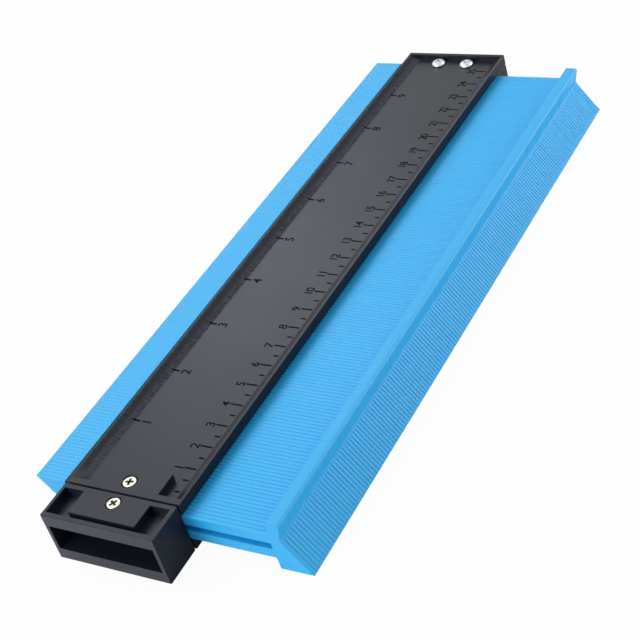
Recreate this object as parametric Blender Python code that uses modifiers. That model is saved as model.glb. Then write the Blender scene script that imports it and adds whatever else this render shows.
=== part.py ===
"""Contour gauge: a comb of flat plastic teeth that slide across a ruled frame.

X is the way the teeth slide, Y runs along the frame, Z is up.
The origin is the centre of the frame's underside. Units are metres.
"""
import math

import bmesh
import bpy
from mathutils import Matrix

MM = 0.001

# Comb of teeth
TOOTH_PITCH = 1.5 * MM
TEETH_PER_PACK = 4
PACK_COUNT = 43
PACK_GAP = 0.15 * MM
TOOTH_TRAVEL = 30.8 * MM
TOOTH_SLOT_HEIGHT = 2.5 * MM
TOOTH_SLOT_END_WALL = 0.3 * MM
HEAD_CROWN = 4.9 * MM
HEAD_WAIST = 3.4 * MM
HEAD_FOOT = 12.0 * MM
WAIST_DROP = 6.2 * MM
TOOTH_DRAFT = 0.16 * MM
DRAFT_STEP = 0.05 * MM

# Running and seating clearances
STOP_GAP = 0.3 * MM
TOOTH_RUN = 0.2 * MM
HEAD_INSET = 0.15 * MM
BAR_RUN = 0.3 * MM
SEAT = 0.1 * MM
SEAM = 0.3 * MM

# Frame
FRAME_WIDTH = 44.6 * MM
FRAME_HEIGHT = 19.7 * MM
COVER_THICKNESS = 4.5 * MM
BASE_THICKNESS = 4.5 * MM
FAR_BLOCK_LENGTH = 8.9 * MM
EDGE_CHAMFER = 0.3 * MM

# Ruled channel in the top cover
CHANNEL_DEPTH = 2.3 * MM
INCH_SLOPE = 4.9 * MM
CM_SLOPE = 3.5 * MM
EDGE_LAND = 0.6 * MM
NEAR_RIM = 2.5 * MM
FAR_RIM = 2.0 * MM

# Raised middle that crosses the seam between end block and cover
PLATEAU_WIDTH = 26.0 * MM
PLATEAU_REACH = 11.4 * MM
PLATEAU_SKIN = 1.8 * MM
PLATEAU_WALL = 1.9 * MM

# Near end block
BLOCK_LENGTH = 14.5 * MM
BLOCK_INSET = 0.25 * MM
SOCKET_WALL = 1.7 * MM
SOCKET_HEIGHT = 10.2 * MM
SOCKET_DEPTH = 11.5 * MM
POCKET_DEPTH = 3.4 * MM
POCKET_FRONT_RIM = 1.7 * MM
POCKET_SIDE_RIM = 1.4 * MM
POCKET_BACK_RIM = 1.9 * MM

# Pieces inside
BAR_WIDTH = 30.0 * MM
BAR_NEAR_SEAT = 1.8 * MM
BAR_FAR_SEAT = 6.5 * MM
PLATE_THICKNESS = 1.6 * MM
PLATE_SIDE_PLAY = 0.15 * MM
TONGUE_THICKNESS = 2.0 * MM
TONGUE_WIDTH = 22.0 * MM
TONGUE_REACH = 8.0 * MM
TONGUE_FLOOR = 1.3 * MM

# Screws
SHANK_RADIUS = 1.4 * MM
SHANK_PLAY = 0.25 * MM
FLAT_HEAD_RADIUS = 2.6 * MM
FLAT_HEAD_SUNK = 0.1 * MM
FLAT_HEAD_CONE = 1.3 * MM
FLAT_SCREW_LENGTH = 3.7 * MM
SEAM_TO_BLOCK_SCREW = 3.9 * MM
SEAM_TO_COVER_SCREW = 5.2 * MM
PAN_HEAD_RADIUS = 3.0 * MM
PAN_HEAD_HEIGHT = 1.7 * MM
FAR_SCREW_SPACING = 13.2 * MM
FAR_SCREW_FROM_END = 5.4 * MM
FAR_SCREW_BITE = 3.0 * MM
ROUND_STEPS = 20
SMOOTH_ANGLE = math.radians(35)

# Places worked out from the sizes above
COMB_LENGTH = PACK_COUNT * TEETH_PER_PACK * TOOTH_PITCH
PACK_PITCH = TEETH_PER_PACK * TOOTH_PITCH
LENGTH = BLOCK_LENGTH + COMB_LENGTH + FAR_BLOCK_LENGTH + 2 * SEAM
NEAR_FACE = -LENGTH / 2
FAR_FACE = LENGTH / 2
BLOCK_BACK = NEAR_FACE + BLOCK_LENGTH
COVER_START = BLOCK_BACK + SEAM
COMB_END = COVER_START + COMB_LENGTH
FAR_BLOCK_START = COMB_END + SEAM
HALF_WIDTH = FRAME_WIDTH / 2
COVER_UNDER = FRAME_HEIGHT - COVER_THICKNESS
MID_Z = (BASE_THICKNESS + COVER_UNDER) / 2
CHANNEL_FLOOR = FRAME_HEIGHT - CHANNEL_DEPTH
BODY_LENGTH = FRAME_WIDTH + TOOTH_TRAVEL + 2 * STOP_GAP
TOOTH_X = BODY_LENGTH / 2 - HALF_WIDTH - STOP_GAP
PLATE_POCKET_TOP = FRAME_HEIGHT - PLATEAU_SKIN
PLATE_WIDTH = PLATEAU_WIDTH - 2 * PLATEAU_WALL
PLATE_REACH = PLATEAU_REACH - PLATEAU_WALL
FAR_SCREW_Y = FAR_FACE - FAR_SCREW_FROM_END
BLOCK_SCREW_Y = BLOCK_BACK - SEAM_TO_BLOCK_SCREW
COVER_SCREW_Y = COVER_START + SEAM_TO_COVER_SCREW
OVERRUN = 1.0 * MM


def clear_scene():
    for old in list(bpy.data.objects):
        bpy.data.objects.remove(old, do_unlink=True)


def new_collection(name):
    group = bpy.data.collections.new(name)
    bpy.context.scene.collection.children.link(group)
    return group


def new_material(name, colour, roughness, metallic=0.0):
    material = bpy.data.materials.new(name)
    material.use_nodes = True
    shader = material.node_tree.nodes["Principled BSDF"]
    shader.inputs["Base Color"].default_value = (*colour, 1.0)
    shader.inputs["Roughness"].default_value = roughness
    shader.inputs["Metallic"].default_value = metallic
    material.diffuse_color = (*colour, 1.0)
    return material


clear_scene()
GAUGE = new_collection("contour_gauge")
CUTTERS = new_collection("cutters")
BLACK_PLASTIC = new_material("black_plastic", (0.035, 0.037, 0.042), 0.5)
BLUE_PLASTIC = new_material("blue_plastic", (0.05, 0.42, 0.86), 0.4)
SCREW_STEEL = new_material("screw_steel", (0.72, 0.71, 0.68), 0.3, 1.0)
BAR_STEEL = new_material("bar_steel", (0.55, 0.56, 0.58), 0.35, 1.0)


def add_object(name, mesh, material=None):
    """Link a mesh as a part, or as a hidden cutter when it has no material."""
    made = bpy.data.objects.new(name, mesh)
    if material:
        mesh.materials.append(material)
        GAUGE.objects.link(made)
    else:
        made.hide_render = True
        made.display_type = 'WIRE'
        CUTTERS.objects.link(made)
    return made


def box(name, low, high, material=None):
    """A block between two corners."""
    size = [b - a for a, b in zip(low, high)]
    middle = [(a + b) / 2 for a, b in zip(low, high)]
    form = bmesh.new()
    place = Matrix.Translation(middle) @ Matrix.Diagonal((*size, 1.0))
    bmesh.ops.create_cube(form, size=1.0, matrix=place)
    mesh = bpy.data.meshes.new(name)
    form.to_mesh(mesh)
    form.free()
    return add_object(name, mesh, material)


def outline_solid(name, points, start, end, across, material=None):
    """Extrude a flat outline: in XY from start to end along Z, or in XZ along Y if across is set."""
    curve = bpy.data.curves.new(name + "_outline", 'CURVE')
    curve.dimensions = '2D'
    curve.fill_mode = 'BOTH'
    curve.extrude = (end - start) / 2
    line = curve.splines.new('POLY')
    line.points.add(len(points) - 1)
    line.use_cyclic_u = True
    for place, (u, v) in zip(line.points, points):
        place.co = (u, v, 0.0, 1.0)
    drawn = bpy.data.objects.new(name + "_outline", curve)
    middle = (start + end) / 2
    if across:
        drawn.matrix_world = Matrix.Translation((0, middle, 0)) @ Matrix.Rotation(math.pi / 2, 4, 'X')
    else:
        drawn.matrix_world = Matrix.Translation((0, 0, middle))
    GAUGE.objects.link(drawn)
    bpy.context.view_layer.update()
    mesh = bpy.data.meshes.new_from_object(drawn.evaluated_get(bpy.context.evaluated_depsgraph_get()))
    mesh.transform(drawn.matrix_world)
    bpy.data.objects.remove(drawn)
    form = bmesh.new()
    form.from_mesh(mesh)
    bmesh.ops.remove_doubles(form, verts=form.verts, dist=0.001 * MM)
    bmesh.ops.recalc_face_normals(form, faces=form.faces)
    form.to_mesh(mesh)
    form.free()
    mesh.name = name
    mesh.materials.clear()
    return add_object(name, mesh, material)


def turned(name, profile, place, material=None):
    """Turn a profile of (radius, height) points, listed from top to bottom, about the Z axis."""
    mesh = bpy.data.meshes.new(name)
    form = bmesh.new()
    row = [form.verts.new((radius, 0.0, height)) for radius, height in profile]
    for upper, lower in zip(row, row[1:]):
        form.edges.new((upper, lower))
    form.to_mesh(mesh)
    form.free()
    made = add_object(name, mesh, material)
    made.location = place
    spin = made.modifiers.new("turn", 'SCREW')
    spin.axis = 'Z'
    spin.steps = ROUND_STEPS
    spin.render_steps = ROUND_STEPS
    spin.use_merge_vertices = True
    spin.merge_threshold = 0.001 * MM
    spin.use_smooth_shade = False
    return made


def shade_round(body):
    """Settle a turned piece into its mesh, smooth round the axis and crisp at its edges."""
    bpy.context.view_layer.update()
    evaluated = body.evaluated_get(bpy.context.evaluated_depsgraph_get())
    mesh = bpy.data.meshes.new_from_object(evaluated)
    body.modifiers.clear()
    body.data = mesh
    mesh.shade_smooth()
    mesh.set_sharp_from_angle(angle=SMOOTH_ANGLE)


def combine(body, other, operation):
    """Cut or join another form with a live Boolean."""
    step = body.modifiers.new(other.name, 'BOOLEAN')
    step.operation = operation
    step.solver = 'EXACT'
    step.object = other


def chamfer(body, width):
    step = body.modifiers.new("chamfer", 'BEVEL')
    step.width = width
    step.segments = 1
    step.limit_method = 'ANGLE'


def tooth_outline():
    """One tooth seen along the frame: a bar with a head at each end, the same after a half turn."""
    back = BODY_LENGTH / 2
    bar = (COVER_UNDER - BASE_THICKNESS) / 2 - TOOTH_RUN
    head = FRAME_HEIGHT / 2 - HEAD_INSET
    right = [
        (back, bar),
        (back, head),
        (back + HEAD_CROWN, head),
        (back + HEAD_WAIST, head - WAIST_DROP),
        (back + HEAD_FOOT, -head),
        (back, -head),
        (back, -bar),
    ]
    left = [(-x, -z) for x, z in right]
    return right + left


def draft_to(form, y):
    """Taper the tooth that ends at y: its far face is smaller than the near face of the next one."""
    for place in (y, y + DRAFT_STEP):
        everything = form.verts[:] + form.edges[:] + form.faces[:]
        bmesh.ops.bisect_plane(form, geom=everything, dist=0.001 * MM,
                               plane_co=(0, place, 0), plane_no=(0, 1, 0))
    form.normal_update()
    ring = [v for v in form.verts if abs(v.co.y - y) < DRAFT_STEP / 2]
    moves = [(v, v.normal * TOOTH_DRAFT * v.calc_shell_factor()) for v in ring]
    for vertex, outward in moves:
        vertex.co -= outward


def make_tooth_mesh():
    """The mesh that all packs share: a few teeth side by side, with the slot for the guide bar."""
    near = -(PACK_PITCH - PACK_GAP) / 2
    far = -near
    pack = outline_solid("tooth_pack_form", tooth_outline(), near, far + OVERRUN, across=True)
    form = bmesh.new()
    form.from_mesh(pack.data)
    for number in range(1, TEETH_PER_PACK):
        draft_to(form, -PACK_PITCH / 2 + number * TOOTH_PITCH)
    draft_to(form, far)
    everything = form.verts[:] + form.edges[:] + form.faces[:]
    bmesh.ops.bisect_plane(form, geom=everything, dist=0.001 * MM,
                           plane_co=(0, far, 0), plane_no=(0, 1, 0), clear_outer=True)
    bmesh.ops.holes_fill(form, edges=[e for e in form.edges if e.is_boundary])
    bmesh.ops.recalc_face_normals(form, faces=form.faces)
    form.to_mesh(pack.data)
    form.free()
    reach = BODY_LENGTH / 2 - TOOTH_SLOT_END_WALL
    slot = box("tooth_slot_cutter",
               (-reach, -PACK_PITCH, -TOOTH_SLOT_HEIGHT / 2), (reach, PACK_PITCH, TOOTH_SLOT_HEIGHT / 2))
    combine(pack, slot, 'DIFFERENCE')
    bpy.context.view_layer.update()
    evaluated = pack.evaluated_get(bpy.context.evaluated_depsgraph_get())
    mesh = bpy.data.meshes.new_from_object(evaluated)
    mesh.name = "tooth_pack"
    mesh.materials.clear()
    mesh.materials.append(BLUE_PLASTIC)
    bpy.data.objects.remove(pack)
    return mesh


def make_tooth_packs():
    """Packs side by side along the frame; each slides along X from its own origin."""
    mesh = make_tooth_mesh()
    for number in range(PACK_COUNT):
        pack = bpy.data.objects.new(f"tooth_pack_{number + 1:02d}", mesh)
        pack.location = (TOOTH_X, COVER_START + (number + 0.5) * PACK_PITCH, MID_Z)
        GAUGE.objects.link(pack)


def flat_screw_hole(name, y):
    """Countersink and shank hole under a flat head screw."""
    rim = FLAT_HEAD_RADIUS + SHANK_PLAY
    hole = SHANK_RADIUS + SHANK_PLAY
    seat = -FLAT_HEAD_SUNK - FLAT_HEAD_CONE
    profile = [(0, OVERRUN), (rim, OVERRUN), (rim, -FLAT_HEAD_SUNK), (hole, seat),
               (hole, -FLAT_SCREW_LENGTH - SHANK_PLAY), (0, -FLAT_SCREW_LENGTH - SHANK_PLAY)]
    return turned(name, profile, (0, y, FRAME_HEIGHT))


def make_flat_screw(name, y):
    """Countersunk screw whose head lies just under the plateau's face."""
    top = -FLAT_HEAD_SUNK
    profile = [(0, top), (FLAT_HEAD_RADIUS, top), (SHANK_RADIUS, top - FLAT_HEAD_CONE),
               (SHANK_RADIUS, -FLAT_SCREW_LENGTH), (0, -FLAT_SCREW_LENGTH)]
    shade_round(turned(name, profile, (0, y, FRAME_HEIGHT), SCREW_STEEL))


def make_pan_screw(name, x):
    """Pan head screw through cover and far block into the base."""
    crown = PAN_HEAD_HEIGHT
    tip = BASE_THICKNESS - FAR_SCREW_BITE - CHANNEL_FLOOR
    profile = [(0, crown), (PAN_HEAD_RADIUS * 0.55, crown * 0.93), (PAN_HEAD_RADIUS * 0.88, crown * 0.6),
               (PAN_HEAD_RADIUS, crown * 0.2), (PAN_HEAD_RADIUS, SEAT), (SHANK_RADIUS, SEAT),
               (SHANK_RADIUS, tip), (0, tip)]
    shade_round(turned(name, profile, (x, FAR_SCREW_Y, CHANNEL_FLOOR), SCREW_STEEL))


def far_screw_holes(body, top, bottom):
    """Two shank holes through a piece at the far end."""
    radius = SHANK_RADIUS + SHANK_PLAY
    for side in (-1, 1):
        hole = turned(f"{body.name}_screw_cutter_{side + 1}", [(0, top), (radius, top), (radius, bottom), (0, bottom)],
                      (side * FAR_SCREW_SPACING / 2, FAR_SCREW_Y, 0))
        combine(body, hole, 'DIFFERENCE')


def plate_pocket(name, y_start, y_end):
    """Room for the joining plate inside a plateau."""
    half = PLATE_WIDTH / 2 + PLATE_SIDE_PLAY
    low = PLATE_POCKET_TOP - PLATE_THICKNESS - 2 * SEAT
    return box(name, (-half, y_start, low), (half, y_end, PLATE_POCKET_TOP))


def bar_pocket(name, y_start, y_end):
    """Seat for one end of the guide bar."""
    half = BAR_WIDTH / 2 + SEAT
    rise = TOOTH_SLOT_HEIGHT / 2 - BAR_RUN + SEAT
    return box(name, (-half, y_start, MID_Z - rise), (half, y_end, MID_Z + rise))


def make_channel_cutter():
    """The sunk ruler plate, cut back round the plateau; its inch side slopes more gently."""
    top = FRAME_HEIGHT + OVERRUN
    edge = HALF_WIDTH - EDGE_LAND
    spread = 1 + OVERRUN / CHANNEL_DEPTH
    points = [(INCH_SLOPE - edge, CHANNEL_FLOOR), (edge - CM_SLOPE, CHANNEL_FLOOR),
              (edge - CM_SLOPE + CM_SLOPE * spread, top), (INCH_SLOPE - edge - INCH_SLOPE * spread, top)]
    channel = outline_solid("channel_cutter", points, COVER_START + NEAR_RIM, FAR_FACE - FAR_RIM, across=True)
    plateau = box("plateau_keep", (-PLATEAU_WIDTH / 2, COVER_START - OVERRUN, CHANNEL_FLOOR - OVERRUN),
                  (PLATEAU_WIDTH / 2, COVER_START + PLATEAU_REACH, top + OVERRUN))
    combine(channel, plateau, 'DIFFERENCE')
    return channel


def make_top_cover():
    """Moulded cover with the sunk ruler plate, near and far rims and the plateau."""
    cover = box("top_cover", (-HALF_WIDTH, COVER_START, COVER_UNDER), (HALF_WIDTH, FAR_FACE, FRAME_HEIGHT),
                BLACK_PLASTIC)
    chamfer(cover, EDGE_CHAMFER)
    combine(cover, make_channel_cutter(), 'DIFFERENCE')
    pocket = plate_pocket("cover_plate_pocket", COVER_START - OVERRUN, COVER_START + PLATE_REACH)
    combine(cover, pocket, 'DIFFERENCE')
    combine(cover, flat_screw_hole("cover_screw_cutter", COVER_SCREW_Y), 'DIFFERENCE')
    far_screw_holes(cover, CHANNEL_FLOOR + OVERRUN, COVER_UNDER - OVERRUN)


def make_base_cover():
    """Flat base the gauge lies on, with a tongue that hooks into the near end block."""
    base = box("bottom_cover", (-HALF_WIDTH, COVER_START, 0), (HALF_WIDTH, FAR_FACE, BASE_THICKNESS), BLACK_PLASTIC)
    chamfer(base, EDGE_CHAMFER)
    tongue = box("base_tongue", (-TONGUE_WIDTH / 2, COVER_START - TONGUE_REACH, TONGUE_FLOOR),
                 (TONGUE_WIDTH / 2, COVER_START + OVERRUN, TONGUE_FLOOR + TONGUE_THICKNESS))
    combine(base, tongue, 'UNION')
    far_screw_holes(base, BASE_THICKNESS + OVERRUN, BASE_THICKNESS - FAR_SCREW_BITE - SEAT)


def block_pocket_outline():
    """U shaped recess round the end block's plateau."""
    side = HALF_WIDTH - BLOCK_INSET - POCKET_SIDE_RIM
    middle = PLATEAU_WIDTH / 2
    front = NEAR_FACE + POCKET_FRONT_RIM
    back = BLOCK_BACK - POCKET_BACK_RIM
    plateau_front = BLOCK_BACK - PLATEAU_REACH + SEAM
    return [(-side, front), (side, front), (side, back), (middle, back),
            (middle, plateau_front), (-middle, plateau_front), (-middle, back), (-side, back)]


def make_near_end_block():
    """End block with an open socket in its end face and a recess round its plateau."""
    half = HALF_WIDTH - BLOCK_INSET
    block = box("near_end_block", (-half, NEAR_FACE, 0), (half, BLOCK_BACK, FRAME_HEIGHT), BLACK_PLASTIC)
    chamfer(block, EDGE_CHAMFER)
    inner = half - SOCKET_WALL
    socket = box("socket_cutter", (-inner, NEAR_FACE - OVERRUN, MID_Z - SOCKET_HEIGHT / 2),
                 (inner, NEAR_FACE + SOCKET_DEPTH, MID_Z + SOCKET_HEIGHT / 2))
    combine(block, socket, 'DIFFERENCE')
    recess = outline_solid("block_recess_cutter", block_pocket_outline(),
                           FRAME_HEIGHT - POCKET_DEPTH, FRAME_HEIGHT + OVERRUN, across=False)
    combine(block, recess, 'DIFFERENCE')
    pocket = plate_pocket("block_plate_pocket", BLOCK_BACK - PLATE_REACH, BLOCK_BACK + OVERRUN)
    combine(block, pocket, 'DIFFERENCE')
    hook_half = TONGUE_WIDTH / 2 + SEAT
    hook = box("tongue_pocket", (-hook_half, COVER_START - TONGUE_REACH - SEAT, TONGUE_FLOOR - SEAT),
               (hook_half, BLOCK_BACK + OVERRUN, TONGUE_FLOOR + TONGUE_THICKNESS + SEAT))
    combine(block, hook, 'DIFFERENCE')
    seat = bar_pocket("block_bar_pocket", BLOCK_BACK - BAR_NEAR_SEAT - SEAT, BLOCK_BACK + OVERRUN)
    combine(block, seat, 'DIFFERENCE')
    combine(block, flat_screw_hole("block_screw_cutter", BLOCK_SCREW_Y), 'DIFFERENCE')


def make_far_end_block():
    """Spacer between the covers that closes the far end and holds the guide bar."""
    block = box("far_end_block", (-HALF_WIDTH, FAR_BLOCK_START, BASE_THICKNESS + SEAT),
                (HALF_WIDTH, FAR_FACE, COVER_UNDER - SEAT), BLACK_PLASTIC)
    chamfer(block, EDGE_CHAMFER)
    seat = bar_pocket("far_bar_pocket", FAR_BLOCK_START - OVERRUN, FAR_BLOCK_START + BAR_FAR_SEAT + SEAT)
    combine(block, seat, 'DIFFERENCE')
    far_screw_holes(block, COVER_UNDER + OVERRUN, BASE_THICKNESS - OVERRUN)


def make_guide_bar():
    """Flat steel bar through the slots of all the teeth, held in both end blocks."""
    rise = TOOTH_SLOT_HEIGHT / 2 - BAR_RUN
    bar = box("guide_bar", (-BAR_WIDTH / 2, BLOCK_BACK - BAR_NEAR_SEAT, MID_Z - rise),
              (BAR_WIDTH / 2, FAR_BLOCK_START + BAR_FAR_SEAT, MID_Z + rise), BAR_STEEL)
    chamfer(bar, EDGE_CHAMFER)
    far_screw_holes(bar, MID_Z + OVERRUN * 2, MID_Z - OVERRUN * 2)


def make_joining_plate():
    """Steel plate that ties the end block to the cover, under both plateaus."""
    top = PLATE_POCKET_TOP - SEAT
    plate = box("joining_plate", (-PLATE_WIDTH / 2, BLOCK_BACK - PLATE_REACH + SEAT, top - PLATE_THICKNESS),
                (PLATE_WIDTH / 2, COVER_START + PLATE_REACH - SEAT, top), BAR_STEEL)
    chamfer(plate, EDGE_CHAMFER)
    radius = SHANK_RADIUS + SHANK_PLAY
    for name, y in (("plate_hole_block", BLOCK_SCREW_Y), ("plate_hole_cover", COVER_SCREW_Y)):
        hole = turned(name, [(0, OVERRUN), (radius, OVERRUN), (radius, -PLATE_THICKNESS - OVERRUN),
                             (0, -PLATE_THICKNESS - OVERRUN)], (0, y, top))
        combine(plate, hole, 'DIFFERENCE')


make_tooth_packs()
make_top_cover()
make_base_cover()
make_near_end_block()
make_far_end_block()
make_guide_bar()
make_joining_plate()
make_flat_screw("block_screw", BLOCK_SCREW_Y)
make_flat_screw("cover_screw", COVER_SCREW_Y)
make_pan_screw("far_screw_left", -FAR_SCREW_SPACING / 2)
make_pan_screw("far_screw_right", FAR_SCREW_SPACING / 2)
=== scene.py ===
"""The looks of the contour gauge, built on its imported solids. Metres, +Y along the frame, +Z up."""

import math
import random

import bmesh
import bpy
from mathutils import Matrix, Vector


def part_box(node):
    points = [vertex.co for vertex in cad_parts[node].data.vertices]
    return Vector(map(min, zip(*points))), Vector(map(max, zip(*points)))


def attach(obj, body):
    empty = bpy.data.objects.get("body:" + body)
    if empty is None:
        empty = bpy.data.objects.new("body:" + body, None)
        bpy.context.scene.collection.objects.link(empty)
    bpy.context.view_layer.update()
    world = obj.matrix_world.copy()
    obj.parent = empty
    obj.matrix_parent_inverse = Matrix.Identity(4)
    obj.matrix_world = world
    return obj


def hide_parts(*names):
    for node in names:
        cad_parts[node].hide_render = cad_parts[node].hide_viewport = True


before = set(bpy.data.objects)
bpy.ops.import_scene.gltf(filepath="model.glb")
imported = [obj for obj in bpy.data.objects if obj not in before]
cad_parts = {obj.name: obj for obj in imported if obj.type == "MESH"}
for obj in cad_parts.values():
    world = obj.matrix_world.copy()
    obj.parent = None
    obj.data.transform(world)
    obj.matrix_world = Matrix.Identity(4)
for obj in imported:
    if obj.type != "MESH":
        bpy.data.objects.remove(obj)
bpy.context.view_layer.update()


# Camera. The picture is taken from the front right and above, with the camera rolled so that the
# frame runs from the lower left to the upper right. The lens shift only places it in the picture.
CAMERA_PLACE = Vector((0.28002, -0.35519, 0.31861))
CAMERA_RIGHT = Vector((0.86273, 0.44469, -0.24074)).normalized()
CAMERA_AHEAD = Vector((-0.49637, 0.65385, -0.57105)).normalized()

camera_data = bpy.data.cameras.new("camera")
camera_data.lens = 82.9
camera_data.sensor_width = 36.0
camera_data.shift_x = -0.0279
camera_data.shift_y = -0.0673
camera = bpy.data.objects.new("camera", camera_data)
camera_up = CAMERA_RIGHT.cross(CAMERA_AHEAD)
turn = Matrix((CAMERA_RIGHT, camera_up, -CAMERA_AHEAD)).transposed()
camera.matrix_world = Matrix.Translation(CAMERA_PLACE) @ turn.to_4x4()
bpy.context.scene.collection.objects.link(camera)
bpy.context.scene.camera = camera


# Frame mouldings: the base, the near end block and the far end block. Black plastic with a fine
# grain from the mould, a thin lighter shine, and edges rounded by a tenth of a millimetre or so.
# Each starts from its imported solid, whose loose triangles are merged before the edges are rounded.
class Shade:
    """A value in a material's node tree. Python sums on it add Math nodes to the tree."""

    def __init__(self, tree, socket=None):
        self.tree = tree
        self.socket = socket

    def node(self, kind, output, settings=None, **inputs):
        """Add a node: its settings, then its sockets' values or links. Returns one output."""
        made = self.tree.nodes.new("ShaderNode" + kind)
        for name, value in (settings or {}).items():
            setattr(made, name, value)
        for name, value in inputs.items():
            socket = next(s for s in made.inputs
                          if name in (s.identifier, s.name.replace(" ", "_")))
            if isinstance(value, Shade):
                self.tree.links.new(value.socket, socket)
            else:
                socket.default_value = value
        return Shade(self.tree, next(s for s in made.outputs if output in (s.identifier, s.name)))

    def sum(self, operation, left, right):
        return self.node("Math", "Value", {"operation": operation}, Value=left, Value_001=right)

    def whole(self):
        return self.sum("FLOOR", self, 0.0)

    def most(self, other):
        return self.sum("MAXIMUM", self, other)

    def __add__(self, other):
        return self.sum("ADD", self, other)

    def __radd__(self, other):
        return self.sum("ADD", other, self)

    def __sub__(self, other):
        return self.sum("SUBTRACT", self, other)

    def __rsub__(self, other):
        return self.sum("SUBTRACT", other, self)

    def __mul__(self, other):
        return self.sum("MULTIPLY", self, other)

    def __rmul__(self, other):
        return self.sum("MULTIPLY", other, self)

    def __truediv__(self, other):
        return self.sum("DIVIDE", self, other)

    def blend(self, low, high):
        """The colour that lies this far from low to high."""
        return self.node("Mix", "Result_Color", {"data_type": "RGBA"},
                         Factor_Float=self, A_Color=low, B_Color=high)


def new_finish(name, metallic=0.0, specular=0.5):
    """An empty finish: the material, its shader, and a Shade that reads Object coordinates."""
    finish = bpy.data.materials.new(name)
    finish.use_nodes = True
    shader = finish.node_tree.nodes["Principled BSDF"]
    shader.inputs["Metallic"].default_value = metallic
    shader.inputs["Specular IOR Level"].default_value = specular
    place = Shade(finish.node_tree).node("TexCoord", "Object")
    return finish, shader, place


def wear(finish, shader, **inputs):
    """Link the varying values of a finish to its shader."""
    for name, value in inputs.items():
        finish.node_tree.links.new(value.socket, shader.inputs[name.replace("_", " ")])


def noise(place, per_metre, detail, roughness=0.5):
    """A cloudy pattern on a place, from nothing to one, with so many clouds to the metre."""
    return place.node("TexNoise", "Fac", Vector=place, Scale=per_metre, Detail=detail,
                      Roughness=roughness)


BLACK_DARK = (0.0060, 0.0080, 0.0150, 1.0)
BLACK_LIGHT = (0.0110, 0.0145, 0.0250, 1.0)
END_PAINTED_LIGHT = (0.0170, 0.0250, 0.0430, 1.0)
GRAIN_PER_METRE = 4200.0
CLOUD_PER_METRE = 45.0
CLOUD_SHARE = 0.6
GRAIN_DEPTH = 0.00005
MOULD_ROUGHNESS = 0.25
CLOUD_ROUGHENS = 0.10
GRAIN_ROUGHENS = 0.05


def moulded(name, specular, light=BLACK_LIGHT):
    """Black plastic as it leaves the mould; a lighter light colour makes a copy with painted light.
    """
    finish, shader, place = new_finish(name, specular=specular)
    cloud = noise(place, CLOUD_PER_METRE, 4.0, 0.55)
    grain = noise(place, GRAIN_PER_METRE, 2.0, 0.6)
    bump = place.node("Bump", "Normal", Height=grain, Strength=0.3, Distance=GRAIN_DEPTH)
    tone = CLOUD_SHARE * cloud + (1.0 - CLOUD_SHARE) * grain
    wear(finish, shader, Base_Color=tone.blend(BLACK_DARK, light),
         Roughness=MOULD_ROUGHNESS + CLOUD_ROUGHENS * cloud + GRAIN_ROUGHENS * grain, Normal=bump)
    return finish


# The ends get a lighter, shinier copy as painted light; the sides and end edges get a less shiny copy
# as painted shade.
black_plastic = moulded("black_plastic", specular=0.36)
# A less shiny copy of the same plastic, used as painted shade.
dull_plastic = moulded("dull_plastic", specular=0.15)
bright_plastic = moulded("bright_plastic", specular=0.50, light=END_PAINTED_LIGHT)

EDGE_RADIUS = 0.00012
EDGE_STEPS = 2
SEAM_EASE = 0.00012

# Points closer than ALIKE are one, faces that turn by less than FLAT are one, edges that turn by
# more than SHARP are rounded, and those that still turn by more than CREASE are shaded as sharp.
ALIKE = 0.000002
FLAT = math.radians(1.5)
SHARP = math.radians(30)
CREASE = math.radians(50)

# How much of a face's normal points along an axis where the face looks that way or leans that way.
FACING = 0.8
LEANING = 0.3


def mesh_of(name, form, finishes=()):
    """A form made into a mesh with its finishes."""
    mesh = bpy.data.meshes.new(name)
    form.to_mesh(mesh)
    form.free()
    for finish in finishes:
        mesh.materials.append(finish)
    return mesh


def settle(name, mesh, body, slot, *nodes, crease=CREASE):
    """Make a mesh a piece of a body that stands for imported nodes. Turns above crease stay sharp."""
    mesh.shade_smooth()
    mesh.set_sharp_from_angle(angle=crease)
    piece = bpy.data.objects.new(name, mesh)
    bpy.context.scene.collection.objects.link(piece)
    even = piece.modifiers.new("even_flats", 'WEIGHTED_NORMAL')
    even.keep_sharp = True
    even.weight = 100
    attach(piece, body)
    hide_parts(*nodes)


def softened(node):
    """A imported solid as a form: its triangles merged, its flats cleared and its edges rounded."""
    form = bmesh.new()
    form.from_mesh(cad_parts[node].data)
    bmesh.ops.remove_doubles(form, verts=form.verts, dist=ALIKE)
    bmesh.ops.dissolve_limit(form, angle_limit=FLAT, verts=form.verts, edges=form.edges)
    edges = [e for e in form.edges if e.calc_face_angle(0.0) > SHARP]
    bmesh.ops.bevel(form, geom=edges, offset=EDGE_RADIUS, offset_type='OFFSET', segments=EDGE_STEPS,
                    profile=0.5, affect='EDGES', material=-1, clamp_overlap=True)
    bmesh.ops.remove_doubles(form, verts=form.verts, dist=ALIKE)
    return form


def open_seam(form, seam_y, ease):
    """Draw the face at seam_y back, so that the seam between block and cover shows dark."""
    verts = [v for v in form.verts if abs(v.co.y - seam_y) < 2 * EDGE_RADIUS]
    bmesh.ops.translate(form, verts=verts, vec=(0, ease, 0))


def polish(form, sides, ends=0):
    """Give a form's finishes by index: painted light on the ends, painted shade on sides and end
    edges.
    """
    for face in form.faces:
        if abs(face.normal.x) > FACING or LEANING < abs(face.normal.y) < FACING:
            face.material_index = sides
        elif abs(face.normal.y) > FACING:
            face.material_index = ends


block_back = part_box("near_end_block")[1].y
plastics = (black_plastic, dull_plastic, bright_plastic)
for node, name in (("bottom_cover", "base_moulding"), ("near_end_block", "near_block_moulding"),
                   ("far_end_block", "far_block_moulding")):
    form = softened(node)
    polish(form, sides=plastics.index(dull_plastic), ends=plastics.index(bright_plastic))
    if node == "near_end_block":
        open_seam(form, block_back, -SEAM_EASE)
    settle(name, mesh_of(name, form, plastics), "frame", "frame_plastic", node)


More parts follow.
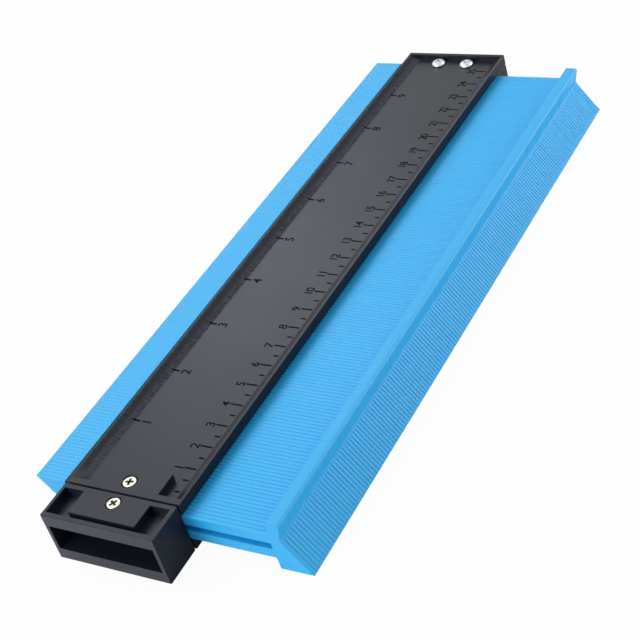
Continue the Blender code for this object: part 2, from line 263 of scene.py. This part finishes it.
# Top cover: the same black moulding, with a centimetre scale along its right side and an inch
# scale along its left, both cut into the mould so that lines and digits lie below the plate.
# Fine marks run up the sloping sides, and the wide slope by the inch scale is left rough and matt.
PLATE_DROP = 0.0023
SIDE_LAND = 0.0006
FAR_LAND = 0.0020
CM_SLOPE = 0.0035
INCH_SLOPE = 0.0049

# The scales: their units, where they start from the cover's near end, and how far they count.
CENTIMETRE = 0.01
INCH = 0.0254
CM_ZERO = 0.0069
INCH_ZERO = 0.0072
SLOPE_ZERO = 0.0042
CM_COUNT = 25
CM_PARTS = 10
INCH_COUNT = 9
INCH_PARTS = 16
INCH_FINE_COUNT = 154

# The ticks on the plate, and the fine marks, which reach up a side by a share of its run.
CM_MARK_WIDTH = 0.00068
INCH_MARK_WIDTH = 0.00080
MARK_DEPTH = 0.0003
MARK_RISE = 0.0006
CM_GAP = 0.0005
CM_TICK = 0.0050
HALF_TICK = 0.0026
INCH_NOTCH = 0.0009
INCH_TICK = 0.0020
FINE_WIDTH = 0.00016
FINE_DEPTH = 0.00009
FINE_FOOT = 0.06
FINE_SHORT = 0.45
INCH_FINE_MIDDLE = 0.65
INCH_FINE_LONG = 0.85
CM_FINE_LONG = 0.70

# The digits: their heights, where they stand, and the letter shapes' weight, spacing and curves.
CM_DIGIT = 0.0034
INCH_DIGIT = 0.0037
INCH_DIGIT_FOOT = 0.0064
DIGIT_GAP = 0.00030
CM_DIGIT_SHIFT = -0.00035
DIGIT_WEIGHT = 0.011
DIGIT_SPACING = 0.8
DIGIT_STEPS = 3

# Limits for merging points, for lying in a plane, and for telling the cover's faces apart.
SAME_POINT = 0.0000005
LEVEL = 0.000001
UPWARD = 0.6
SLOPING = 0.25
COVER_CREASE = math.radians(24)

cover_low, cover_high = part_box("top_cover")
plate_z = cover_high.z - PLATE_DROP
cm_foot = cover_high.x - SIDE_LAND - CM_SLOPE
inch_foot = cover_low.x + SIDE_LAND + INCH_SLOPE
cm_start = cover_low.y + CM_ZERO
inch_start = cover_low.y + INCH_ZERO
slope_start = cover_low.y + SLOPE_ZERO
far_rim = cover_high.y - FAR_LAND


def mark(form, x_from, x_to, y, wide):
    """A bar across the plate, tall enough to notch the foot of a slope that it meets."""
    centre = Vector(((x_from + x_to) / 2, y, plate_z + (MARK_RISE - MARK_DEPTH) / 2))
    size = Matrix.Diagonal((abs(x_to - x_from), wide, MARK_RISE + MARK_DEPTH, 1.0))
    bmesh.ops.create_cube(form, size=1.0, matrix=Matrix.Translation(centre) @ size)


def slope_mark(form, foot, slope, share, y):
    """A fine mark up a sloping side, whose run is negative where it climbs to the left."""
    start, end = foot + slope * FINE_FOOT, foot + slope * share
    climbed = (start + end - 2 * foot) / 2 / abs(slope)
    height = plate_z + climbed * PLATE_DROP * math.copysign(1, slope)
    tilt = -math.copysign(math.atan2(PLATE_DROP, abs(slope)), slope)
    size = Matrix.Diagonal((abs(end - start) / math.cos(tilt), FINE_WIDTH, 2 * FINE_DEPTH, 1.0))
    place = Matrix.Translation(((start + end) / 2, y, height)) @ Matrix.Rotation(tilt, 4, 'Y')
    bmesh.ops.create_cube(form, size=1.0, matrix=place @ size)


def digits(form, number, x_foot, y, tall):
    """A number cut into the plate. It reads along the frame, its foot at x_foot."""
    text = bpy.data.curves.new("digits", 'FONT')
    text.body = str(number)
    text.align_x = 'CENTER'
    text.resolution_u = DIGIT_STEPS
    text.extrude = 0.5
    text.offset = DIGIT_WEIGHT
    text.space_character = DIGIT_SPACING
    drawn = bpy.data.objects.new("digits", text)
    mesh = bpy.data.meshes.new_from_object(drawn)
    grow = tall / max(v.co.y for v in mesh.vertices)
    size = Matrix.Diagonal((grow, grow, 2 * MARK_DEPTH, 1.0))
    quarter_turn = Matrix.Rotation(math.pi / 2, 4, 'Z')
    mesh.transform(Matrix.Translation((x_foot, y, plate_z)) @ quarter_turn @ size)
    form.from_mesh(mesh)
    bpy.data.objects.remove(drawn)
    bpy.data.curves.remove(text)
    bpy.data.meshes.remove(mesh)


def as_object(name, form, *finishes):
    """A form made into an object in the scene, with its finishes."""
    made = bpy.data.objects.new(name, mesh_of(name, form, finishes))
    bpy.context.scene.collection.objects.link(made)
    return made


def carved(blank, cutter):
    """The mesh of a blank less its cutter. The cut faces keep the finish of the cutter."""
    cut = blank.modifiers.new("cut", 'BOOLEAN')
    cut.operation = 'DIFFERENCE'
    cut.solver = 'EXACT'
    cut.use_self = True
    cut.material_mode = 'TRANSFER'
    cut.object = cutter
    bpy.context.view_layer.update()
    worked_out = bpy.context.evaluated_depsgraph_get()
    mesh = bpy.data.meshes.new_from_object(blank.evaluated_get(worked_out))
    bpy.data.objects.remove(blank)
    bpy.data.objects.remove(cutter)
    form = bmesh.new()
    form.from_mesh(mesh)
    bmesh.ops.remove_doubles(form, verts=form.verts, dist=ALIKE)
    form.to_mesh(mesh)
    form.free()
    return mesh


engraving = bmesh.new()
for half in range(2 * CM_COUNT + 1):
    y = cm_start + half * CENTIMETRE / 2
    whole = half % 2 == 0 and half > 0
    tick_end = cm_foot - (CM_TICK if whole else HALF_TICK)
    mark(engraving, cm_foot - CM_GAP, tick_end, y, CM_MARK_WIDTH)
    if whole:
        digits(engraving, half // 2, cm_foot - CM_TICK - DIGIT_GAP, y + CM_DIGIT_SHIFT, CM_DIGIT)
for number in range(1, INCH_COUNT + 1):
    y = inch_start + number * INCH
    mark(engraving, inch_foot - INCH_NOTCH, inch_foot + INCH_TICK, y, INCH_MARK_WIDTH)
    digits(engraving, number, inch_foot + INCH_DIGIT_FOOT, y, INCH_DIGIT)
plate_marks_end = len(engraving.faces)
for step in range(1, INCH_FINE_COUNT + 1):
    if step % (INCH_PARTS // 2) == 0:
        share = INCH_FINE_LONG
    else:
        share = INCH_FINE_MIDDLE if step % 2 == 0 else FINE_SHORT
    slope_mark(engraving, inch_foot, -INCH_SLOPE, share, inch_start + step * INCH / INCH_PARTS)
inch_marks_end = len(engraving.faces)
for step in range(1, CM_PARTS * CM_COUNT):
    share = CM_FINE_LONG if step % (CM_PARTS // 2) == 0 else FINE_SHORT
    slope_mark(engraving, cm_foot, CM_SLOPE, share, cm_start + step * CENTIMETRE / CM_PARTS)

# The wide slope is matt and mottled. Its upper band is darker as painted shade, and the rim at its
# top is lighter and bluer as a painted highlight. Below the band it is mottled and lighter, partly as
# painted reflection. The borders waver with the mottle. At the near end the band is left out, and
# the part below turns lighter.
MARK_BLACK = (0.0022, 0.0022, 0.0026, 1.0)
SHADE_BAND_DARK = (0.018, 0.021, 0.026, 1.0)
SHADE_BAND_LIGHT = (0.027, 0.030, 0.036, 1.0)
LOWER_SLOPE_DARK = (0.022, 0.026, 0.035, 1.0)
LOWER_SLOPE_LIGHT = (0.066, 0.073, 0.090, 1.0)
NEAR_END_TONE = (0.054, 0.060, 0.070, 1.0)
RIM_PAINTED_HIGHLIGHT = (0.064, 0.080, 0.106, 1.0)
MOTTLE_PER_METRE = 750.0
MOTTLE_LOW, MOTTLE_HIGH = 0.35, 0.68
MOTTLE_DEPTH = 0.00015
BAND_FROM, BAND_TO, BAND_WAVER = 0.42, 0.58, 0.3
RIM_FROM, RIM_TO, RIM_WAVER = 0.87, 0.95, 0.1
MIDDLE = 0.5
BARE_LENGTH = 0.005
NEAR_END_FROM, NEAR_END_TO = 0.03, 0.004
MARK_ROUGHNESS = 0.75
SMUDGE_ROUGHENS = 0.1
MATT_ROUGHNESS = 0.6
MOTTLE_ROUGHENS = 0.25


def ramp(value, start, end):
    """Nothing up to the start, one from the end on, and a straight line between them."""
    return value.node("MapRange", "Result", Value=value, From_Min=start, From_Max=end)


mark_finish, mark_shader, mark_place = new_finish("engraved_marks", specular=0.15)
smudge = noise(mark_place, MOTTLE_PER_METRE, 2.0)
wear(mark_finish, mark_shader, Base_Color=smudge.blend(MARK_BLACK, BLACK_DARK),
     Roughness=MARK_ROUGHNESS + SMUDGE_ROUGHENS * smudge)

matt_black, matt_shader, matt_place = new_finish("matt_slope", specular=0.16)
mottle = noise(matt_place, MOTTLE_PER_METRE, 3.0, 0.7)
spread = ramp(mottle, MOTTLE_LOW, MOTTLE_HIGH)
matt_across = matt_place.node("SeparateXYZ", "X", Vector=matt_place)
matt_along = matt_place.node("SeparateXYZ", "Y", Vector=matt_place)
climb = (inch_foot - matt_across) / INCH_SLOPE
shade_band_share = ramp(climb + BAND_WAVER * (spread - MIDDLE), BAND_FROM, BAND_TO)
# The painted highlight along the rim at the top of the slope.
rim = ramp(climb + RIM_WAVER * (spread - MIDDLE), RIM_FROM, RIM_TO)
covered = ramp(matt_along, slope_start, slope_start + BARE_LENGTH)
near_end_share = ramp(matt_along, slope_start + NEAR_END_FROM, slope_start + NEAR_END_TO)
rough = near_end_share.blend(spread.blend(LOWER_SLOPE_DARK, LOWER_SLOPE_LIGHT), NEAR_END_TONE)
matt_bump = mottle.node("Bump", "Normal", Height=mottle, Strength=0.5, Distance=MOTTLE_DEPTH)
slope_with_painted_shade = (shade_band_share * covered).blend(rough, spread.blend(SHADE_BAND_DARK, SHADE_BAND_LIGHT))
wear(matt_black, matt_shader, Base_Color=rim.blend(slope_with_painted_shade, RIM_PAINTED_HIGHLIGHT),
     Roughness=MATT_ROUGHNESS + MOTTLE_ROUGHENS * mottle, Normal=matt_bump)

cut_finishes = (mark_finish, black_plastic, matt_black)
engraving.faces.ensure_lookup_table()
for face in engraving.faces[plate_marks_end:inch_marks_end]:
    face.material_index = cut_finishes.index(matt_black)
for face in engraving.faces[inch_marks_end:]:
    face.material_index = cut_finishes.index(black_plastic)
bmesh.ops.remove_doubles(engraving, verts=engraving.verts, dist=SAME_POINT)
bmesh.ops.recalc_face_normals(engraving, faces=engraving.faces)

cover_finishes = (black_plastic, matt_black, dull_plastic)
cover_form = softened("top_cover")
polish(cover_form, sides=cover_finishes.index(dull_plastic))
open_seam(cover_form, cover_low.y, SEAM_EASE)
whole_cover = cover_form.verts[:] + cover_form.edges[:] + cover_form.faces[:]
bmesh.ops.bisect_plane(cover_form, geom=whole_cover, dist=LEVEL, plane_co=(0, far_rim, 0),
                       plane_no=(0, 1, 0))
for face in (f for f in cover_form.faces if f.normal.z > UPWARD):
    middle = face.calc_center_median()
    if face.normal.x > SLOPING and cover_low.x + SIDE_LAND < middle.x < inch_foot:
        face.material_index = cover_finishes.index(matt_black)
    # The top of the far rim gets the less shiny copy as well, as painted shade.
    if middle.y > far_rim:
        face.material_index = cover_finishes.index(dull_plastic)
blank = as_object("ruled_cover_blank", cover_form, *cover_finishes)
cutter = as_object("engraving", engraving, *cut_finishes)
settle("ruled_cover", carved(blank, cutter), "frame", "frame_plastic", "top_cover",
       crease=COVER_CREASE)


# Guide bar and joining plate: rolled steel strip, cut to length and with its edges eased. The bar
# lies in the slots of the teeth, where a little of it shows, and the plate isn't seen at all.
STEEL_DARK = (0.42, 0.43, 0.45, 1.0)
STEEL_LIGHT = (0.60, 0.61, 0.62, 1.0)
ROLLING_PER_METRE = (900.0, 22.0, 900.0)
STEEL_ROUGHNESS = 0.32
ROLLING_ROUGHENS = 0.2

rolled_steel, rolled_shader, rolled_place = new_finish("rolled_steel", metallic=1.0)
stretched = rolled_place.node("Mapping", "Vector", Vector=rolled_place, Scale=ROLLING_PER_METRE)
rolling = noise(stretched, 1.0, 3.0)
wear(rolled_steel, rolled_shader, Base_Color=rolling.blend(STEEL_DARK, STEEL_LIGHT),
     Roughness=STEEL_ROUGHNESS + ROLLING_ROUGHENS * rolling)
for node, name in (("guide_bar", "guide_strip"), ("joining_plate", "joining_strip")):
    settle(name, mesh_of(name, softened(node), (rolled_steel,)), "frame", "bar_steel", node)


# Screws: bright zinc plated steel with a cross recess. Two countersunk heads lie in the raised
# middle on either side of the seam, and two domed heads stand on the plate at the far end.
# Each is turned from a profile, and two tapered bars cut the recess, coloured dark in the countersunk
# heads as painted shade.
ZINC_DARK = (0.60, 0.58, 0.50, 1.0)
ZINC_LIGHT = (0.88, 0.86, 0.77, 1.0)
COOL_DARK = (0.44, 0.46, 0.50, 1.0)
COOL_LIGHT = (0.78, 0.80, 0.84, 1.0)
RECESS_SHADE_DARK = (0.050, 0.042, 0.022, 1.0)
RECESS_SHADE_LIGHT = (0.24, 0.20, 0.12, 1.0)
PLATING_PER_METRE = 700.0
RECESS_NOISE_PER_METRE = 1500.0
ZINC_ROUGHNESS = 0.3
PLATING_ROUGHENS = 0.2
RECESS_ROUGHNESS = 0.5
RECESS_NOISE_ROUGHENS = 0.2

SCREW_STEPS = 48
SHANK_SHARE = 0.48
SUNK_DEPTH = 0.0013
DOME_HEIGHT = 0.0016
RECESS_REACH = 0.86
RECESS_WIDTH = 0.00110
RECESS_DEPTH = 0.0009
RECESS_TAPER = (0.35, 0.7, 1.0)
BLOCK_TURN = math.radians(61)
COVER_TURN = math.radians(13)


def plated(name, dark, light):
    """Zinc plate over steel."""
    finish, shader, place = new_finish(name, metallic=1.0)
    plating = noise(place, PLATING_PER_METRE, 4.0, 0.6)
    wear(finish, shader, Base_Color=plating.blend(dark, light),
         Roughness=ZINC_ROUGHNESS + PLATING_ROUGHENS * plating)
    return finish


warm_zinc = plated("warm_zinc", ZINC_DARK, ZINC_LIGHT)
cool_zinc = plated("cool_zinc", COOL_DARK, COOL_LIGHT)
# Painted shade in the recess of the countersunk heads.
shaded_recess_finish, shaded_recess_shader, shaded_recess_place = new_finish("oiled_recess", metallic=0.6)
recess_noise = noise(shaded_recess_place, RECESS_NOISE_PER_METRE, 3.0)
wear(shaded_recess_finish, shaded_recess_shader, Base_Color=recess_noise.blend(RECESS_SHADE_DARK, RECESS_SHADE_LIGHT),
     Roughness=RECESS_ROUGHNESS + RECESS_NOISE_ROUGHENS * recess_noise)

# A head is a line of radii, as shares of its own, and heights: one flat, with its rim rounded into
# the countersink, and one a low dome on a thin straight rim.
sunk_head = [(0.0, 0.0), (0.76, 0.0), (0.84, -0.00004), (0.88, -0.00015), (0.87, -0.00040),
             (SHANK_SHARE, -SUNK_DEPTH)]
domed_head = [(share, DOME_HEIGHT * height) for share, height in
              ((0.0, 0.0), (0.45, -0.04), (0.72, -0.16), (0.9, -0.4), (0.985, -0.7),
               (1.0, -0.93), (0.97, -1.0), (SHANK_SHARE, -1.0))]


def screw(node, name, head, turn, zinc, recess_finish):
    """A screw from its packed box: a turned head and shank, and a recess turned by an angle."""
    low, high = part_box(node)
    radius = (high.x - low.x) / 2
    depth = low.z - high.z
    profile = [(radius * share, height) for share, height in head]
    profile += [(radius * SHANK_SHARE, depth), (0.0, depth)]
    form = bmesh.new()
    line = [form.verts.new((r, 0.0, z)) for r, z in profile]
    edges = [form.edges.new(pair) for pair in zip(line, line[1:])]
    bmesh.ops.spin(form, geom=line + edges, cent=(0, 0, 0), axis=(0, 0, 1), dvec=(0, 0, 0),
                   steps=SCREW_STEPS, angle=2 * math.pi, use_merge=True, use_duplicate=False)
    bmesh.ops.remove_doubles(form, verts=form.verts, dist=SAME_POINT)
    bmesh.ops.recalc_face_normals(form, faces=form.faces)
    recess = bmesh.new()
    bar_size = (2 * RECESS_REACH * radius, RECESS_WIDTH, 2 * RECESS_DEPTH)
    for quarter in (0.0, math.pi / 2):
        bar = bmesh.ops.create_cube(recess, size=1.0)["verts"]
        bmesh.ops.scale(recess, vec=bar_size, verts=bar)
        bmesh.ops.scale(recess, vec=RECESS_TAPER, verts=[v for v in bar if v.co.z < 0])
        bmesh.ops.rotate(recess, verts=bar, cent=(0, 0, 0),
                         matrix=Matrix.Rotation(turn + quarter, 3, 'Z'))
    mesh = carved(as_object("screw_blank", form, zinc), as_object("recess", recess, recess_finish))
    mesh.transform(Matrix.Translation(((low.x + high.x) / 2, (low.y + high.y) / 2, high.z)))
    settle(name, mesh, "frame", "screw_steel", node)


screw("block_screw", "countersunk_screw_block", sunk_head, BLOCK_TURN, warm_zinc, shaded_recess_finish)
screw("cover_screw", "countersunk_screw_cover", sunk_head, COVER_TURN, warm_zinc, shaded_recess_finish)
screw("far_screw_left", "domed_screw_left", domed_head, BLOCK_TURN, cool_zinc, cool_zinc)
screw("far_screw_right", "domed_screw_right", domed_head, COVER_TURN, cool_zinc, cool_zinc)


# Teeth: thin slips of sky blue plastic that slide side by side, with a hooked head at each end and
# a long slot for the guide bar. A tooth is the same after half a turn, so half of its outline is
# drawn, turned and joined. Its rims are drafted, most of all on the slanted face with its ribs.
TOOTH_PITCH = 0.0015
TOOTH_THICKNESS = 0.00148
TOOTH_FLAT = 0.00062
TEETH_PER_PACK = 4

# The outline, from the tooth's middle or in from its head, and how its corners are rounded.
HEAD_CROWN = 0.0049
HEAD_WAIST = 0.0034
HEAD_FOOT = 0.0120
WAIST_DROP = 0.0062
SLOT_RISE = 0.00125
SLOT_END_WALL = 0.0003
BODY_RISE = 0.00515
CROWN_RADIUS = 0.0011
CROWN_STEPS = 5
CORNER_RADIUS = 0.0003
CORNER_STEPS = 2

# How far each part of a rim is drawn in, and the shares of the slanted face between which it is.
SLANT_DRAFT = 0.00026
TOP_DRAFT = 0.00022
CROWN_DRAFT = 0.00003
FOOT_DRAFT = 0.00008
RIB_START = 0.10
RIB_END = 0.88
CLOSE = 0.00002

# A tooth lies back from its stop by up to its slack.
SLACK = 0.00006
SLACK_SEED = 7

pack_low, pack_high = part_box("tooth_pack_01")
tooth_middle = (pack_low + pack_high) / 2
tip = (pack_high.x - pack_low.x) / 2
rise = (pack_high.z - pack_low.z) / 2
back = tip - HEAD_FOOT
waist = rise - WAIST_DROP

slant_top, slant_foot = Vector((back + HEAD_WAIST, waist)), Vector((tip, -rise))
rib_ends = [slant_top.lerp(slant_foot, share) for share in (RIB_START, RIB_END)]

tooth_form = bmesh.new()
half_outline = [(0.0, BODY_RISE), (back, BODY_RISE), (back, rise), (back + HEAD_CROWN, rise),
                slant_top, *rib_ends, slant_foot, (back, -rise), (back, -BODY_RISE),
                (0.0, -BODY_RISE), (0.0, -SLOT_RISE), (back - SLOT_END_WALL, -SLOT_RISE),
                (back - SLOT_END_WALL, SLOT_RISE), (0.0, SLOT_RISE)]
corners = [tooth_form.verts.new((x, -TOOTH_FLAT / 2, z)) for x, z in half_outline]
tooth_form.faces.new(corners)
crown, rib_corners = corners[3], corners[5:7]
plain = [v for v in corners if v.co.x > back / 2 and v not in (crown, *rib_corners)]
for rounded, radius, steps in (([crown], CROWN_RADIUS, CROWN_STEPS),
                               (plain, CORNER_RADIUS, CORNER_STEPS)):
    bmesh.ops.bevel(tooth_form, geom=rounded, offset=radius, offset_type='OFFSET', segments=steps,
                    profile=0.5, affect='VERTICES', material=-1, clamp_overlap=True)


def points(geometry):
    """The points among what an operator returns."""
    return [g for g in geometry if isinstance(g, bmesh.types.BMVert)]


half_tooth = tooth_form.verts[:] + tooth_form.edges[:] + tooth_form.faces[:]
turned = points(bmesh.ops.duplicate(tooth_form, geom=half_tooth)["geom"])
bmesh.ops.rotate(tooth_form, verts=turned, cent=(0, 0, 0), matrix=Matrix.Rotation(math.pi, 3, 'Y'))
bmesh.ops.remove_doubles(tooth_form, verts=tooth_form.verts, dist=ALIKE)


def grown(form, faces, step):
    """Extrude a tooth's side by a step along the frame, and return the new side."""
    swept = bmesh.ops.extrude_face_region(form, geom=faces)["geom"]
    bmesh.ops.translate(form, verts=points(swept), vec=(0, step, 0))
    return [g for g in swept if isinstance(g, bmesh.types.BMFace)]


def drafted(form, faces, step):
    """Extrude a tooth's side by a step and draw its rim in, by how far each part is drafted."""
    side = grown(form, faces, step)
    verts = {v for face in side for v in face.verts}
    for way in (1, -1):
        slant = [v for v in verts if any((v.co.xz * way - end).length < CLOSE for end in rib_ends)]
        top = [v for v in verts
               if abs(v.co.x) < back - CORNER_RADIUS / 2 and way * v.co.z > BODY_RISE - CLOSE]
        crowned = [v for v in verts if way * v.co.x > back and way * v.co.z > rise - CLOSE]
        foot = [v for v in verts if way * v.co.x > back - CLOSE and way * v.co.z < CLOSE - rise]
        bmesh.ops.translate(form, verts=slant, vec=(-way * SLANT_DRAFT, 0, 0))
        bmesh.ops.translate(form, verts=top, vec=(0, 0, -way * TOP_DRAFT))
        bmesh.ops.translate(form, verts=crowned, vec=(0, 0, -way * CROWN_DRAFT))
        bmesh.ops.translate(form, verts=foot, vec=(0, 0, way * FOOT_DRAFT))


near_side = tooth_form.faces[:]
far_side = grown(tooth_form, near_side, TOOTH_FLAT)
rim_step = (TOOTH_THICKNESS - TOOTH_FLAT) / 2
drafted(tooth_form, far_side, rim_step)
near_side = [f for f in tooth_form.faces
             if all(abs(v.co.y + TOOTH_FLAT / 2) < LEVEL for v in f.verts)]
drafted(tooth_form, near_side, -rim_step)
bmesh.ops.recalc_face_normals(tooth_form, faces=tooth_form.faces)
tooth_mesh = mesh_of("tooth", tooth_form)

BLUE_DEEP = (0.018, 0.415, 0.845, 1.0)
BLUE_BRIGHT = (0.030, 0.465, 0.900, 1.0)
FLOW_PER_METRE = 130.0
SATIN_PER_METRE = 4200.0
SATIN_DEPTH = 0.00003
TONE_SHARE = 0.3
BLUE_ROUGHNESS = 0.29
FLOW_ROUGHENS = 0.1
TONE_ROUGHENS = 0.05

blue_plastic, blue_shader, blue_place = new_finish("blue_plastic", specular=0.5)
along = blue_place.node("SeparateXYZ", "Y", Vector=blue_place)
tooth_number = ((along - pack_low.y) / TOOTH_PITCH).whole()
tooth_tone = along.node("TexWhiteNoise", "Value", {"noise_dimensions": '1D'}, W=tooth_number)
flow = noise(blue_place, FLOW_PER_METRE, 3.0)
satin = noise(blue_place, SATIN_PER_METRE, 2.0)
blue_bump = blue_place.node("Bump", "Normal", Height=satin, Strength=0.08, Distance=SATIN_DEPTH)
blue_tone = TONE_SHARE * tooth_tone + (1.0 - TONE_SHARE) * flow
wear(blue_plastic, blue_shader, Base_Color=blue_tone.blend(BLUE_DEEP, BLUE_BRIGHT),
     Roughness=BLUE_ROUGHNESS + FLOW_ROUGHENS * flow + TONE_ROUGHENS * tooth_tone,
     Normal=blue_bump)

luck = random.Random(SLACK_SEED)
tooth_packs = sorted(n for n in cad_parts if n.startswith("tooth_pack_"))
for node in tooth_packs:
    low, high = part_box(node)
    form = bmesh.new()
    for number in range(TEETH_PER_PACK):
        y = (low.y + high.y) / 2 + (number - (TEETH_PER_PACK - 1) / 2) * TOOTH_PITCH
        before = len(form.verts)
        form.from_mesh(tooth_mesh)
        form.verts.ensure_lookup_table()
        place = Vector((tooth_middle.x + luck.uniform(-SLACK, 0.0), y, tooth_middle.z))
        bmesh.ops.translate(form, verts=form.verts[before:], vec=place)
    name = node.replace("tooth_pack", "slips")
    body = node.replace("tooth_pack", "teeth")
    settle(name, mesh_of(name, form, (blue_plastic,)), body, "tooth_plastic", node)


# Floor and light: a white table under a soft white sky. Large lamps on the left and in front light
# the gauge, one on the right fills the slanted faces, and a small one behind adds a sheen. The
# table is part matt and part white of its own, so it stays white and keeps a soft shadow.
SKY_LEVEL = 0.38
TABLE_REACH = 4.0
TABLE_DROP = 0.0001
TABLE_MATT = (0.92, 0.92, 0.92, 1.0)
WHITE = (1.0, 1.0, 1.0, 1.0)
TABLE_WHITE = 0.95
TABLE_MIRRORED = 0.10

table_form = bmesh.new()
bmesh.ops.create_grid(table_form, x_segments=1, y_segments=1, size=TABLE_REACH,
                      matrix=Matrix.Translation((0, 0, -TABLE_DROP)))
table_finish = bpy.data.materials.new("white_table")
table_finish.use_nodes = True
table_tree = table_finish.node_tree
table_tree.nodes.remove(table_tree.nodes["Principled BSDF"])


def seen_by(shade, mirrored=1.0):
    """One for a ray from the camera, mirrored for a reflected or bent one, and else nothing."""
    camera_ray, glossy_ray, clear_ray = (
        shade.node("LightPath", f"Is {kind} Ray") for kind in ("Camera", "Glossy", "Transmission"))
    return camera_ray.most(mirrored * glossy_ray.most(clear_ray))


table_shade = Shade(table_tree)
matt = table_shade.node("BsdfDiffuse", "BSDF", Color=TABLE_MATT)
glow = table_shade.node("Emission", "Emission", Color=WHITE, Strength=1.0)
glow_share = TABLE_WHITE * seen_by(table_shade, TABLE_MIRRORED)
shown = table_shade.node("MixShader", "Shader", Fac=glow_share, Shader=matt, Shader_001=glow)
table_tree.links.new(shown.socket, table_tree.nodes["Material Output"].inputs["Surface"])
as_object("table", table_form, table_finish)

world = bpy.data.worlds.new("soft_sky")
bpy.context.scene.world = world
world.use_nodes = True
background = world.node_tree.nodes["Background"]
background.inputs["Color"].default_value = WHITE
sky = SKY_LEVEL + (1.0 - SKY_LEVEL) * seen_by(Shade(world.node_tree))
world.node_tree.links.new(sky.socket, background.inputs["Strength"])


def soft_lamp(name, place, across, power, colour=(1, 1, 1)):
    """A round lamp that faces the gauge."""
    data = bpy.data.lights.new(name, 'AREA')
    data.shape = 'DISK'
    data.size = across
    data.energy = power
    data.color = colour
    lamp = bpy.data.objects.new(name, data)
    lamp.location = place
    lamp.rotation_euler = (-Vector(place)).to_track_quat('-Z', 'Y').to_euler()
    bpy.context.scene.collection.objects.link(lamp)


soft_lamp("left_lamp", (-0.75, -0.05, 0.95), across=0.8, power=3.6)
soft_lamp("front_lamp", (-0.45, -1.1, 0.6), across=0.8, power=9.5)
soft_lamp("right_lamp", (0.52, 0.50, 0.30), across=0.6, power=2.7)
soft_lamp("sheen_lamp", (-0.73, 0.81, 0.81), across=0.4, power=1.1, colour=(0.80, 0.92, 1.0))

bpy.context.scene.view_settings.view_transform = 'Standard'
